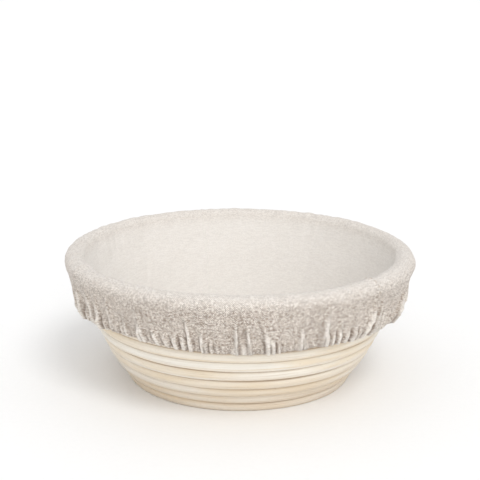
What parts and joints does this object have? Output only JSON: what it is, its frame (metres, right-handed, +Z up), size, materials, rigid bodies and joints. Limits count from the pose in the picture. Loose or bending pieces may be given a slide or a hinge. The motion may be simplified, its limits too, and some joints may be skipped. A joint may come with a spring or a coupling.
{
  "type": "banneton basket",
  "caption": "Round coiled-cane proofing basket with a pinned rim and a removable gathered linen liner folded over the rim.",
  "frame": {"origin": "on the bowl's axis, at the level the base stands on", "axes": "+Z up along the bowl's axis; the liner's side seam is 44 degrees from +X towards -Y"},
  "size_m": [0.2342, 0.2342, 0.0886],
  "materials": {
    "cane": "matte",
    "rim_cane": "matte",
    "pins": "dull",
    "linen": "woven",
    "elastic": "woven",
    "thread": "twisted"
  },
  "bodies": {
    "basket": {"base_spiral": "cane", "base_ring": "cane", "wall_ring_01": "cane", "wall_ring_02": "cane", "wall_ring_03": "cane", "wall_ring_04": "cane", "wall_ring_05": "cane", "wall_ring_06": "cane", "wall_ring_07": "cane", "wall_ring_08": "cane", "wall_ring_09": "cane", "wall_ring_10": "cane", "base_pins": "pins", "wall_pins": "pins", "rim_ring": "rim_cane", "rim_pins": "pins"},
    "liner": {"liner_base_panel": "linen", "liner_side_panel": "linen", "liner_skirt": "linen", "hem_elastic": "elastic", "base_seam_thread": "thread", "side_seam_thread": "thread", "hem_thread": "thread"}
  },
  "joints": [
    {"name": "liner_lift", "type": "slide", "parent": "basket", "child": "liner", "axis": [0, 0, 1], "range_m": [0, 0.15], "deforming": ["liner_skirt", "hem_elastic", "hem_thread"]}
  ]
}
